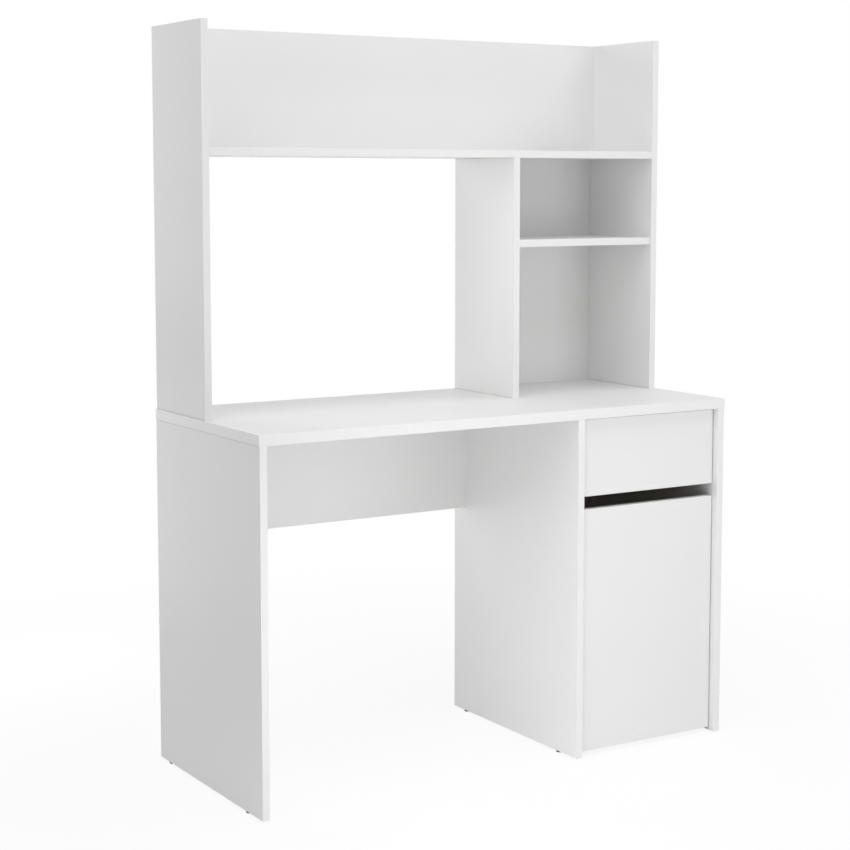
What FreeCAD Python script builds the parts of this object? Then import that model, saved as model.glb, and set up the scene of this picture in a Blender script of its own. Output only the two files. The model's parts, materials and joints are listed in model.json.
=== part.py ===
import FreeCAD, Part
import math
import os

# Student desk with hutch, in millimetres: a writing desk with a drawer and a cupboard on the right,
# and a shelf unit (the hutch) that stands on the desktop.
# +X runs to the right of someone who sits at the desk, +Y to the back, +Z up.
# The origin lies on the floor, below the middle of the whole piece.

vec = FreeCAD.Vector
right = vec(1, 0, 0)
rear = vec(0, 1, 0)
up = vec(0, 0, 1)

# Boards
board = 16.0                    # melamine faced boards of the panels, shelves and fronts
desktop_thickness = 22.0
thin_board = 3.0                # hardboard backs and drawer bottom
drawer_board = 12.0             # sides and back of the drawer box
edge_band = 1.0                 # plastic edge band, part of the board's outer size
edge_round = 0.7                # rounding of the band's long edges
shortest_rounded = 30.0         # shorter band edges stay square
same_plane = 0.001              # how exactly an edge lies on a band's outer face
end_ease = 0.6                  # bevel round the ends of a board, which leaves a fine line at its seam
groove_depth = 6.0
groove_gap = 0.1                # play of a thin board in its groove or rebate

# Desk
desk_width = 1150.0
desk_depth = 485.0
panel_height = 732.0            # side panels, without their glides
panel_inset = 1.0               # side panels stand in from the desktop's ends
pedestal_clear = 366.0          # between the middle and the right panel
modesty_height = 252.0
modesty_setback = 28.0          # from the back of the desk

# Glides
glide_height = 4.0
glide_radius = 7.5
glide_peg_radius = 2.5
glide_peg_length = 14.0
glide_round = 0.7
glide_front_set = 72.0          # from the front of the desk
glide_back_set = 45.0           # from the back of the desk

# Drawer front and door, both between the panels
front_recess = 16.0             # behind the panels' front edges
front_side_gap = 2.0
drawer_top_gap = 3.0
drawer_front_height = 165.0
grip_gap = 28.0                 # finger gap between drawer front and door
door_rise = 7.0                 # above the panels' lower edge

# Cupboard
bottom_rise = 12.0              # above the panels' lower edge
bottom_setback = 15.0           # behind the door, for the swing of its hinge edge
cupboard_back_set = 10.0        # from the back of the desk
cupboard_shelf_height = 250.0   # above the cupboard bottom
cupboard_shelf_setback = 18.0   # behind the front of the cupboard bottom
shelf_end_gap = 1.0
shelf_pin_radius = 2.5
shelf_pin_buried = 9.0
shelf_pin_out = 9.0
shelf_pin_bevel = 0.5
shelf_hole_step = 32.0          # other holes for the pins, above and below the shelf
shelf_hole_rows = 1
shelf_pin_set = 40.0            # from the shelf's front and rear edges

# Hutch
hutch_height = 798.0
hutch_depth = 239.0
hutch_left_inset = 3.0          # from the desktop's left end
hutch_right_inset = 0.5         # from the desktop's right end
hutch_clear_height = 530.0      # desktop to the long shelf
nook_shelf_height = 334.0
nook_shelf_recess = 5.0
rebate_width = 8.0              # for the thin back of the nook

# Cam locks, their bolts, and dowels
cam_radius = 7.5
cam_depth = 12.5
cam_depth_thin = 9.5            # in the drawer's thinner sides
cam_distance = 24.0             # cam centre to the joint
cam_throat_radius = 3.9
cam_slot_half = 0.6
cam_slot_depth = 1.5
bolt_thread_radius = 2.5
bolt_thread_length = 11.0
bolt_shank_radius = 3.0
bolt_neck_radius = 2.0
bolt_neck_length = 5.0
bolt_head_radius = 3.3
bolt_head_length = 3.0
press_gap = 0.05                # round a fastener in its hole
bolt_row_front = 60.0           # rows of joints, from the front and rear ends of a joint
bolt_row_back = 60.0
short_row = 40.0                # the same on narrow boards
dowel_radius = 4.0
dowel_in_face = 11.0
dowel_in_edge = 19.0
dowel_end_gap = 1.0
dowel_bevel = 0.8
dowel_step = 60.0               # from a cam bolt to the dowel beside it

# Screws and pins
fitting_screw_radius = 1.75
fitting_screw_head = 3.4
fitting_screw_length = 13.0
box_screw_radius = 2.0
box_screw_head = 4.0
box_screw_length = 35.0
back_pin_radius = 0.8
back_pin_head = 1.6
back_pin_length = 15.0
screw_tip = 0.8                 # share of the shank's radius that the point takes off
screw_slot_half = 0.4
screw_slot_depth = 0.8

# Steel plates that tie the hutch to the desktop
plate_thickness = 2.0
plate_width = 14.0
plate_height = 80.0
plate_below = 20.0              # part of the plate that lies on the desktop's rear edge
plate_low_screw = 9.0
plate_mid_screw = 40.0
plate_high_screw = 70.0
plate_screw_length = 25.0

# Drawer box
drawer_gap = 12.5               # between the cupboard panel and the drawer side, for the runner
drawer_side_height = 120.0
drawer_back_gap = 42.0          # between the drawer box and the cupboard back
drawer_side_rise = 14.0         # above the lower edge of the drawer front
drawer_bottom_rise = 10.0       # above the lower edge of the drawer side
drawer_groove = 5.0
drawer_low_row = 45.0           # rows of fittings, above the lower edge of the drawer side
drawer_high_row = 100.0
drawer_kept_in = 98.0           # length of the box that stays behind the panels' fronts when it is open

# Roller runners
runner_sheet = 1.0
runner_bend = 0.8               # rounding where the sheet is bent
runner_slot_half = 2.2          # slots punched between the screw places
runner_slot_length = 12.0
runner_behind = 6.0             # cabinet runner ends behind the drawer box
runner_front_set = 4.0          # from the back of the drawer front
runner_drop = 2.0               # cabinet runner starts below the drawer side
runner_height = 23.0
cabinet_flange = 10.6
cabinet_lip = 6.0
drawer_under_flange = 10.0      # below the drawer side
drawer_flange_start = 3.0       # rim of the drawer runner, from the cupboard panel
under_screw_tip_gap = 1.0       # left between the screws below the drawer side and its groove
stop_height = 4.0               # tab on the cabinet runner that ends the drawer's travel
stop_gap = 0.3
roller_radius = 9.0
roller_start = 3.8              # from the cupboard panel
roller_width = 6.3
roller_bevel = 0.6
roller_pin_radius = 2.5
roller_pin_gap = 0.05
roller_pin_head = 4.0
roller_pin_head_length = 0.7
roller_boss_radius = 4.5
roller_side_gap = 0.1
roller_seat_gap = 0.05          # between a roller and what it runs on
front_roller_lift = 0.45        # front roller above the runner's lower flange
front_roller_set = 14.0         # from the cabinet runner's front end
rear_roller_set = 14.0          # from the drawer runner's rear end
runner_screw_set = 46.0         # from a runner's ends
runner_screw_count = 3

# Hinges
hinge_end_set = 90.0            # from the door's upper and lower edges
cup_radius = 17.5
cup_depth = 12.5
cup_wall = 1.0
cup_edge = 4.5                  # wood left between cup and door edge
cup_flange_thickness = 1.5
cup_flange_radius = 19.0
cup_flange_half_width = 8.0
cup_flange_half_length = 30.0
cup_flange_corner = 6.0
cup_screw_set = 25.0            # above and below the cup's centre
hinge_pin_set = 20.0            # from the door's hinge edge
hinge_pin_depth = 8.0           # in front of the door's inner face
hinge_pin_radius = 1.5
hinge_pin_gap = 0.05
hinge_eye_radius = 3.0
arm_thickness = 2.0
arm_half_width = 5.0
arm_corner = 17.5               # where the arm turns back, from the pin in both directions
arm_clearance = 5.0             # round the swing of the door's hinge edge
arm_length = 34.0               # along the mounting plate
mount_plate_thickness = 3.0
mount_rail_half = 8.0
mount_wing_half = 23.0
mount_wing_length = 20.0
mount_screw_set = 16.0
arm_screw_set = 28.0            # from the arm's bend

# Magnetic catch, which also stops the door
catch_width = 14.0
catch_depth = 16.0
catch_height = 40.0
catch_drop = 12.0               # below the door's upper edge
catch_gap = 0.3
catch_screw_set = 12.0
catch_screw_length = 25.0
strike_thickness = 1.0
strike_width = 12.0
strike_height = 30.0

# Planes that several pieces share
total_depth = desk_depth + plate_thickness
desk_left = -desk_width / 2
desk_right = desk_width / 2
front_y = -total_depth / 2
back_y = front_y + desk_depth
panel_bottom = glide_height
desktop_bottom = panel_bottom + panel_height
desktop_top = desktop_bottom + desktop_thickness
left_panel_x = desk_left + panel_inset
right_panel_x = desk_right - panel_inset - board
pedestal_left = right_panel_x - pedestal_clear
middle_panel_x = pedestal_left - board
fronts_y = front_y + front_recess
fronts_back = fronts_y + board
drawer_front_top = desktop_bottom - drawer_top_gap
drawer_front_bottom = drawer_front_top - drawer_front_height
door_top = drawer_front_bottom - grip_gap
door_bottom = panel_bottom + door_rise
door_left = pedestal_left + front_side_gap
door_right = right_panel_x - front_side_gap
cupboard_bottom_z = panel_bottom + bottom_rise
cupboard_floor = cupboard_bottom_z + board
cupboard_front = fronts_back + bottom_setback
cupboard_back_y = back_y - cupboard_back_set - thin_board
modesty_front = back_y - modesty_setback - board
modesty_bottom = desktop_bottom - modesty_height
hutch_front = back_y - hutch_depth
hutch_left = desk_left + hutch_left_inset
hutch_right = desk_right - hutch_right_inset
divider_x = middle_panel_x
nook_left = divider_x + board
nook_right = hutch_right - board
hutch_shelf_z = desktop_top + hutch_clear_height
hutch_shelf_top = hutch_shelf_z + board
hutch_top = desktop_top + hutch_height
nook_shelf_z = desktop_top + nook_shelf_height
nook_back_front = back_y - thin_board
drawer_side_bottom = drawer_front_bottom + drawer_side_rise
drawer_side_top = drawer_side_bottom + drawer_side_height
drawer_side_rear = cupboard_back_y - drawer_back_gap
drawer_side_length = drawer_side_rear - fronts_back
drawer_travel = drawer_side_length - drawer_kept_in
drawer_bottom_z = drawer_side_bottom + drawer_bottom_rise
runner_z = drawer_side_bottom - runner_drop
runner_front = fronts_back + runner_front_set
runner_end = drawer_side_rear + runner_behind
roller_end = roller_start + roller_width
rear_roller_z = runner_z + runner_sheet + roller_seat_gap + roller_radius
front_roller_z = runner_z + runner_sheet + front_roller_lift + roller_radius
rim_z = front_roller_z + roller_radius + roller_seat_gap
front_roller_y = runner_front + front_roller_set
rear_roller_y = drawer_side_rear - rear_roller_set
hinge_pin_x = door_right - hinge_pin_set
hinge_pin_y = fronts_back - hinge_pin_depth
cup_x = door_right - cup_edge - cup_radius
hinge_swing = math.hypot(hinge_pin_set, max(hinge_pin_depth, board - hinge_pin_depth))

# axis and direction of each named edge of a board
edge_sides = {"left": "x-", "right": "x+", "front": "y-", "back": "y+", "bottom": "z-", "top": "z+"}

pieces = {}
cuts = {}


def put(node, solid):
    # adds a piece to a named group
    pieces.setdefault(node, []).append(solid)


def drill(nodes, tool):
    # marks a hole or groove in each named board
    for node in nodes:
        cuts.setdefault(node, []).append(tool)


def box_between(a, b):
    low = vec(min(a[0], b[0]), min(a[1], b[1]), min(a[2], b[2]))
    high = vec(max(a[0], b[0]), max(a[1], b[1]), max(a[2], b[2]))
    size = high - low
    return Part.makeBox(size.x, size.y, size.z, low)


def slab(centre, a, half_a, b, half_b, c, half_c):
    # box round a centre, with half sizes along three directions of the frame
    reach = a * half_a + b * half_b + c * half_c
    reach = vec(abs(reach.x), abs(reach.y), abs(reach.z))
    return box_between(centre - reach, centre + reach)


def rod(start, direction, radius, length):
    return Part.makeCylinder(radius, length, start, direction)


def ring_edges(shape):
    return [edge for edge in shape.Edges if edge.Curve.TypeId == "Part::GeomCircle"]


def edges_along(shape, direction):
    # straight edges that run in one direction of the frame
    chosen = []
    for edge in shape.Edges:
        run = edge.Vertexes[-1].Point - edge.Vertexes[0].Point
        if run.Length > same_plane and run.cross(direction).Length < same_plane:
            chosen.append(edge)
    return chosen


def rounded_band(band, axis, outer):
    # edge band with its long outer edges rounded
    chosen = []
    for edge in band.Edges:
        outside = all(abs(vertex.Point[axis] - outer) < same_plane for vertex in edge.Vertexes)
        if outside and edge.Length > shortest_rounded:
            chosen.append(edge)
    return band.makeFillet(edge_round, chosen)


def banded_board(node, band_node, low, high, edges):
    # board whose named edges carry a glued band, the first named ones over the full length
    low = list(low)
    high = list(high)
    for name in edges:
        axis = "xyz".index(edge_sides[name][0])
        side = edge_sides[name][1]
        band_low = list(low)
        band_high = list(high)
        if side == "-":
            low[axis] = low[axis] + edge_band
            band_high[axis] = low[axis]
            outer = band_low[axis]
        else:
            high[axis] = high[axis] - edge_band
            band_low[axis] = high[axis]
            outer = band_high[axis]
        put(band_node, rounded_band(box_between(band_low, band_high), axis, outer))
    put(node, box_between(low, high))


def ease_ends(nodes, low, high, names):
    # bevels the named ends of a board together with the bands on it
    for name in names:
        axis = "xyz".index(edge_sides[name][0])
        inward = 1 if edge_sides[name][1] == "-" else -1
        end = low[axis] if inward > 0 else high[axis]
        near = list(low)
        far = list(high)
        near[axis] = end
        far[axis] = end + inward * 3 * end_ease
        core = box_between(near, far)
        chosen = []
        for edge in core.Edges:
            if all(abs(vertex.Point[axis] - end) < same_plane for vertex in edge.Vertexes):
                chosen.append(edge)
        core = core.makeChamfer(end_ease, chosen)
        wide_near = [value - end_ease for value in near]
        wide_far = [value + end_ease for value in far]
        wide_near[axis] = end
        wide_far[axis] = end + inward * end_ease
        drill(nodes, box_between(wide_near, wide_far).cut(core))


def plain_board(node, low, high):
    put(node, box_between(low, high))


def cam_lock(surface, face, inward, half, depth):
    # round lock with a throat for the bolt's head and a cross slot for the screwdriver
    centre = surface - face * half
    body = rod(surface, face * -1, cam_radius, depth)
    throat = rod(centre, inward * -1, cam_throat_radius, cam_radius + cam_slot_depth)
    across = inward.cross(face)
    tip = surface - face * (cam_slot_depth / 2)
    slots = []
    for along, other in ((inward, across), (across, inward)):
        slots.append(slab(tip, along, cam_radius / 2, other, cam_slot_half, face, cam_slot_depth / 2))
    return body.cut([throat] + slots)


def cam_bolt(joint, inward):
    # bolt with a threaded end in one board and a head that the lock in the other board pulls on
    thread = rod(joint, inward * -1, bolt_thread_radius, bolt_thread_length)
    neck_start = cam_distance - bolt_head_length - bolt_neck_length
    shank = rod(joint, inward, bolt_shank_radius, neck_start)
    neck = rod(joint, inward, bolt_neck_radius, cam_distance)
    head = rod(joint + inward * (cam_distance - bolt_head_length), inward, bolt_head_radius, bolt_head_length)
    return thread.fuse([shank, neck, head]).removeSplitter()


def cam_joint(cam_board, bolt_board, joint, inward, face, half, depth, family):
    # joint is on the seam, in the middle of the cam's board; inward points along that board
    surface = joint + inward * cam_distance + face * half
    pocket = rod(surface, face * -1, cam_radius + press_gap, depth + press_gap)
    passage = rod(joint, inward, bolt_head_radius + press_gap, cam_distance)
    thread_hole = rod(joint, inward * -1, bolt_thread_radius + press_gap, bolt_thread_length + press_gap)
    drill([cam_board], pocket)
    drill([cam_board], passage)
    drill([bolt_board], thread_hole)
    put(family + "_cam_locks", cam_lock(surface, face, inward, half, depth))
    put(family + "_cam_bolts", cam_bolt(joint, inward))


def dowel_joint(edge_board, face_board, joint, inward, family):
    # wooden dowel, deeper in the board that it enters by its edge
    start = joint - inward * (dowel_in_face - dowel_end_gap)
    length = dowel_in_face + dowel_in_edge - 2 * dowel_end_gap
    pin = rod(start, inward, dowel_radius, length)
    put(family + "_dowels", pin.makeChamfer(dowel_bevel, ring_edges(pin)))
    drill([edge_board], rod(joint, inward, dowel_radius + press_gap, dowel_in_edge))
    drill([face_board], rod(joint, inward * -1, dowel_radius + press_gap, dowel_in_face))


def sunk_screw(node, seat, direction, radius, head, length, boards, slotted=True):
    # countersunk screw, flush with its seat
    sink = head - radius
    cone = Part.makeCone(head, radius, sink, seat, direction)
    shank = rod(seat, direction, radius, length - radius)
    point_seat = seat + direction * (length - radius)
    point = Part.makeCone(radius, radius * (1 - screw_tip), radius, point_seat, direction)
    screw = shank.fuse([cone, point]).removeSplitter()
    if slotted:
        across = vec(direction.y, direction.z, direction.x)
        other = direction.cross(across)
        tip = seat + direction * (screw_slot_depth / 2)
        for along, beside in ((across, other), (other, across)):
            depth = screw_slot_depth / 2
            screw = screw.cut(slab(tip, along, head / 2, beside, screw_slot_half, direction, depth))
    put(node, screw)
    hole = rod(seat, direction, radius + press_gap, length + press_gap)
    countersink = Part.makeCone(head + press_gap, radius + press_gap, sink, seat, direction)
    drill(boards, hole.fuse(countersink))


def row_places(low, high, first, last):
    # two places in a row, set in from both ends
    return (low + first, high - last)


def desktop_parts():
    low = (desk_left, front_y, desktop_bottom)
    high = (desk_right, back_y, desktop_top)
    banded_board("desktop", "desktop_edging", low, high, ("front", "back", "left", "right"))


def side_panel(node, x):
    low = (x, front_y, panel_bottom)
    high = (x + board, back_y, desktop_bottom)
    banded_board(node, "panel_edging", low, high, ("front",))
    ease_ends((node, "panel_edging"), low, high, ("top",))


def panel_to_desktop(node, x, face):
    # cam bolts hang from the desktop, the locks sit in the panel's hidden face
    middle = x + board / 2
    for y in row_places(front_y, back_y, bolt_row_front, bolt_row_back):
        seam = vec(middle, y, desktop_bottom)
        cam_joint(node, "desktop", seam, up * -1, face, board / 2, cam_depth, "desk")
    for y in row_places(front_y, back_y, bolt_row_front + dowel_step, bolt_row_back + dowel_step):
        dowel_joint(node, "desktop", vec(middle, y, desktop_bottom), up * -1, "desk")


def panel_glides(x):
    for y in row_places(front_y, back_y, glide_front_set, glide_back_set):
        centre = vec(x + board / 2, y, 0)
        disc = rod(centre, up, glide_radius, glide_height)
        lower_rim = [edge for edge in ring_edges(disc) if edge.Vertexes[0].Z < glide_height / 2]
        disc = disc.makeFillet(glide_round, lower_rim)
        peg = rod(centre, up, glide_peg_radius, glide_height + glide_peg_length)
        put("floor_glides", disc.fuse(peg).removeSplitter())


def glide_holes(node, x):
    for y in row_places(front_y, back_y, glide_front_set, glide_back_set):
        start = vec(x + board / 2, y, panel_bottom)
        drill([node], rod(start, up, glide_peg_radius + press_gap, glide_peg_length + press_gap))


def desk_panels():
    places = {"left_side_panel": (left_panel_x, right),
              "middle_panel": (middle_panel_x, right),
              "right_side_panel": (right_panel_x, right * -1)}
    for node, (x, face) in places.items():
        side_panel(node, x)
        panel_to_desktop(node, x, face)
        panel_glides(x)
        glide_holes(node, x)


def modesty_parts():
    start = left_panel_x + board
    low = (start, modesty_front, modesty_bottom)
    high = (middle_panel_x, modesty_front + board, desktop_bottom)
    banded_board("modesty_panel", "panel_edging", low, high, ("bottom",))
    middle_y = modesty_front + board / 2
    middle_z = (modesty_bottom + desktop_bottom) / 2
    ends = (("left_side_panel", start, right), ("middle_panel", middle_panel_x, right * -1))
    for panel, x, inward in ends:
        for z in row_places(modesty_bottom, desktop_bottom, bolt_row_front, bolt_row_back):
            seam = vec(x, middle_y, z)
            cam_joint("modesty_panel", panel, seam, inward, rear, board / 2, cam_depth, "desk")
        dowel_joint("modesty_panel", panel, vec(x, middle_y, middle_z), inward, "desk")


def cupboard_bottom_parts():
    low = (pedestal_left, cupboard_front, cupboard_bottom_z)
    high = (right_panel_x, cupboard_back_y, cupboard_floor)
    banded_board("cupboard_bottom", "panel_edging", low, high, ("front",))
    middle_z = cupboard_bottom_z + board / 2
    ends = (("middle_panel", pedestal_left, right), ("right_side_panel", right_panel_x, right * -1))
    for panel, x, inward in ends:
        for y in row_places(cupboard_front, cupboard_back_y, short_row, short_row):
            seam = vec(x, y, middle_z)
            cam_joint("cupboard_bottom", panel, seam, inward, up * -1, board / 2, cam_depth, "desk")
        seam = vec(x, (cupboard_front + cupboard_back_y) / 2, middle_z)
        dowel_joint("cupboard_bottom", panel, seam, inward, "desk")


def cupboard_back_parts():
    # thin back in grooves of both panels, pinned to the cupboard bottom
    sunk = groove_depth - groove_gap
    bottom = cupboard_bottom_z
    top = desktop_bottom - groove_gap
    low = (pedestal_left - sunk, cupboard_back_y, bottom)
    high = (right_panel_x + sunk, cupboard_back_y + thin_board, top)
    plain_board("cupboard_back", low, high)
    low = (pedestal_left - groove_depth, cupboard_back_y - groove_gap, panel_bottom)
    high = (right_panel_x + groove_depth, cupboard_back_y + thin_board + groove_gap, desktop_bottom)
    drill(["middle_panel", "right_side_panel"], box_between(low, high))
    places = (pedestal_left + short_row, (pedestal_left + right_panel_x) / 2, right_panel_x - short_row)
    for x in places:
        seat = vec(x, cupboard_back_y + thin_board, cupboard_bottom_z + board / 2)
        back_pin(seat, ["cupboard_back", "cupboard_bottom"])


def back_pin(seat, boards):
    sunk_screw("back_pins", seat, rear * -1, back_pin_radius, back_pin_head, back_pin_length, boards, False)


def cupboard_shelf_parts():
    bottom = cupboard_floor + cupboard_shelf_height
    front = cupboard_front + cupboard_shelf_setback
    back = cupboard_back_y - groove_gap
    low = (pedestal_left + shelf_end_gap, front, bottom)
    high = (right_panel_x - shelf_end_gap, back, bottom + board)
    banded_board("cupboard_shelf", "panel_edging", low, high, ("front",))
    ends = (("middle_panel", pedestal_left, right), ("right_side_panel", right_panel_x, right * -1))
    for y in row_places(front, back, shelf_pin_set, shelf_pin_set):
        for panel, x, inward in ends:
            seat = vec(x, y, bottom - shelf_pin_radius)
            foot = seat - inward * shelf_pin_buried
            pin = rod(foot, inward, shelf_pin_radius, shelf_pin_buried + shelf_pin_out)
            put("shelf_pins", pin.makeChamfer(shelf_pin_bevel, ring_edges(pin)))
            depth = shelf_pin_buried + press_gap
            for row in range(-shelf_hole_rows, shelf_hole_rows + 1):
                mouth = seat + up * (row * shelf_hole_step)
                drill([panel], rod(mouth, inward * -1, shelf_pin_radius + press_gap, depth))


def hutch_sides():
    sides = {"hutch_left_side": hutch_left, "hutch_right_side": nook_right}
    for node, x in sides.items():
        low = (x, hutch_front, desktop_top)
        high = (x + board, back_y, hutch_top)
        banded_board(node, "hutch_edging", low, high, ("front", "top"))
        ease_ends((node, "hutch_edging"), low, high, ("bottom",))
    low = (divider_x, hutch_front, desktop_top)
    high = (nook_left, back_y, hutch_shelf_z)
    banded_board("hutch_divider", "hutch_edging", low, high, ("front",))
    ease_ends(("hutch_divider", "hutch_edging"), low, high, ("bottom", "top"))
    for node, x in {**sides, "hutch_divider": divider_x}.items():
        for y in row_places(hutch_front, back_y, short_row, short_row):
            dowel_joint(node, "desktop", vec(x + board / 2, y, desktop_top), up, "hutch")


def hutch_shelf_parts():
    start = hutch_left + board
    low = (start, hutch_front, hutch_shelf_z)
    high = (nook_right, back_y, hutch_shelf_top)
    banded_board("hutch_shelf", "hutch_edging", low, high, ("front",))
    ease_ends(("hutch_shelf", "hutch_edging"), low, high, ("left", "right"))
    middle_z = hutch_shelf_z + board / 2
    for side, x, inward in hutch_ends():
        for y in row_places(hutch_front, back_y, short_row, bolt_row_back):
            seam = vec(x, y, middle_z)
            cam_joint("hutch_shelf", side, seam, inward, up * -1, board / 2, cam_depth, "hutch")
    for y in row_places(hutch_front, back_y, short_row, bolt_row_back):
        seam = vec(divider_x + board / 2, y, hutch_shelf_z)
        dowel_joint("hutch_divider", "hutch_shelf", seam, up * -1, "hutch")


def hutch_ends():
    start = hutch_left + board
    return (("hutch_left_side", start, right), ("hutch_right_side", nook_right, right * -1))


def upper_back_parts():
    start = hutch_left + board
    low = (start, back_y - board, hutch_shelf_top)
    high = (nook_right, back_y, hutch_top)
    banded_board("hutch_upper_back", "hutch_edging", low, high, ("top",))
    middle_y = back_y - board / 2
    for side, x, inward in hutch_ends():
        for z in row_places(hutch_shelf_top, hutch_top, short_row, bolt_row_back):
            seam = vec(x, middle_y, z)
            cam_joint("hutch_upper_back", side, seam, inward, rear, board / 2, cam_depth, "hutch")
    for x in (start + bolt_row_front, (start + nook_right) / 2, nook_right - bolt_row_back):
        seam = vec(x, middle_y, hutch_shelf_top)
        dowel_joint("hutch_upper_back", "hutch_shelf", seam, up, "hutch")


def nook_shelf_parts():
    front = hutch_front + nook_shelf_recess
    back = nook_back_front - groove_gap
    low = (nook_left, front, nook_shelf_z)
    high = (nook_right, back, nook_shelf_z + board)
    banded_board("nook_shelf", "hutch_edging", low, high, ("front",))
    ease_ends(("nook_shelf", "hutch_edging"), low, high, ("left", "right"))
    ends = (("hutch_divider", nook_left, right), ("hutch_right_side", nook_right, right * -1))
    for side, x, inward in ends:
        for y in row_places(front, back, short_row, short_row):
            seam = vec(x, y, nook_shelf_z + board / 2)
            cam_joint("nook_shelf", side, seam, inward, up * -1, board / 2, cam_depth, "hutch")


def nook_back_parts():
    # thin back let into rebates, flush with the back of the hutch
    low = (nook_left - rebate_width, nook_back_front, desktop_top)
    high = (nook_right + rebate_width, back_y, hutch_shelf_z + rebate_width)
    sunk = vec(groove_gap, 0, groove_gap)
    plain_board("nook_back", vec(*low) + sunk, vec(*high) - sunk)
    wider = vec(0, groove_gap, 0)
    rebate = box_between(vec(*low) - wider, vec(*high) + wider)
    drill(["hutch_divider", "hutch_right_side", "hutch_shelf"], rebate)
    low_z = desktop_top + plate_height
    high_z = hutch_shelf_z - short_row
    for z in (low_z, (low_z + high_z) / 2, high_z):
        back_pin(vec(nook_left - rebate_width / 2, back_y, z), ["nook_back", "hutch_divider"])
        back_pin(vec(nook_right + rebate_width / 2, back_y, z), ["nook_back", "hutch_right_side"])


def joining_plates():
    # flat plates on the rear edges, each with one screw in the desktop and two in the upright
    uprights = {"hutch_left_side": hutch_left, "hutch_divider": divider_x, "hutch_right_side": nook_right}
    for node, x in uprights.items():
        low = desktop_top - plate_below
        middle = x + board / 2
        half = plate_width / 2
        start = (middle - half, back_y, low)
        end = (middle + half, back_y + plate_thickness, low + plate_height)
        put("joining_plates", box_between(start, end))
        boards = {plate_low_screw: ["desktop", "desktop_edging"],
                  plate_mid_screw: [node, "nook_back"],
                  plate_high_screw: [node, "nook_back"]}
        for height, into in boards.items():
            seat = vec(middle, back_y + plate_thickness, low + height)
            sunk_screw("joining_plate_screws", seat, rear * -1, fitting_screw_radius, fitting_screw_head,
                       plate_screw_length, into + ["joining_plates"])


def drawer_boards():
    low = (door_left, fronts_y, drawer_front_bottom)
    high = (door_right, fronts_back, drawer_front_top)
    banded_board("drawer_front", "drawer_front_edging", low, high, ("top", "bottom", "left", "right"))
    left_outer = pedestal_left + drawer_gap
    right_outer = right_panel_x - drawer_gap
    sides = (("drawer_left_side", left_outer, 1), ("drawer_right_side", right_outer, -1))
    for node, outer, inward in sides:
        low = (outer, fronts_back, drawer_side_bottom)
        high = (outer + inward * drawer_board, drawer_side_rear, drawer_side_top)
        plain_board(node, low, high)
        drawer_side_joints(node, outer, inward)
    left_inner = left_outer + drawer_board
    right_inner = right_outer - drawer_board
    back_low = (left_inner, drawer_side_rear - drawer_board, drawer_bottom_z + thin_board)
    plain_board("drawer_back", back_low, (right_inner, drawer_side_rear, drawer_side_top))
    drawer_bottom_parts(left_inner, right_inner)


def drawer_side_joints(node, outer, inward):
    axis = right * inward
    middle = outer + inward * drawer_board / 2
    for row in (drawer_low_row, drawer_high_row):
        seam = vec(middle, fronts_back, drawer_side_bottom + row)
        cam_joint(node, "drawer_front", seam, rear, axis * -1, drawer_board / 2, cam_depth_thin, "drawer")
        seat = vec(outer, drawer_side_rear - drawer_board / 2, drawer_side_bottom + row)
        sunk_screw("drawer_screws", seat, axis, box_screw_radius, box_screw_head, box_screw_length,
                   [node, "drawer_back"])


def drawer_bottom_parts(left_inner, right_inner):
    # bottom in grooves of the sides and the front, pinned up into the drawer back
    sunk = drawer_groove - groove_gap
    low = (left_inner - sunk, fronts_back - sunk, drawer_bottom_z)
    high = (right_inner + sunk, drawer_side_rear, drawer_bottom_z + thin_board)
    plain_board("drawer_bottom", low, high)
    low = (left_inner - drawer_groove, fronts_back - drawer_groove, drawer_bottom_z - groove_gap)
    high = (right_inner + drawer_groove, drawer_side_rear, drawer_bottom_z + thin_board + groove_gap)
    drill(["drawer_left_side", "drawer_right_side", "drawer_front"], box_between(low, high))
    for x in (left_inner + short_row, (left_inner + right_inner) / 2, right_inner - short_row):
        seat = vec(x, drawer_side_rear - drawer_board / 2, drawer_bottom_z)
        sunk_screw("drawer_screws", seat, up, back_pin_radius, back_pin_head, back_pin_length,
                   ["drawer_bottom", "drawer_back"], False)


def along_runner(start, end):
    # evenly spaced screw places between a runner's two ends
    first = start + runner_screw_set
    step = (end - runner_screw_set - first) / (runner_screw_count - 1)
    return [first + place * step for place in range(runner_screw_count)]


def bent(sheet, corners):
    # rounds the long edges of a runner that lie at the named corners, each given as (x, z)
    chosen = []
    for edge in edges_along(sheet, rear):
        point = edge.Vertexes[0].Point
        if any(math.hypot(point.x - x, point.z - z) < same_plane for x, z in corners):
            chosen.append(edge)
    return sheet.makeFillet(runner_bend, chosen)


def slotted(sheet, x, z, places):
    # slots through the web of a runner, halfway between its screws
    half = runner_slot_length / 2 - runner_slot_half
    tools = []
    for first, second in zip(places[:-1], places[1:]):
        middle = vec(x, (first + second) / 2, z)
        tools.append(slab(middle, right, 2 * runner_sheet, rear, half, up, runner_slot_half))
        for end in (-half, half):
            foot = middle + rear * end - right * (2 * runner_sheet)
            tools.append(rod(foot, right, runner_slot_half, 4 * runner_sheet))
    return sheet.cut(tools[0].fuse(tools[1:]))


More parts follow.
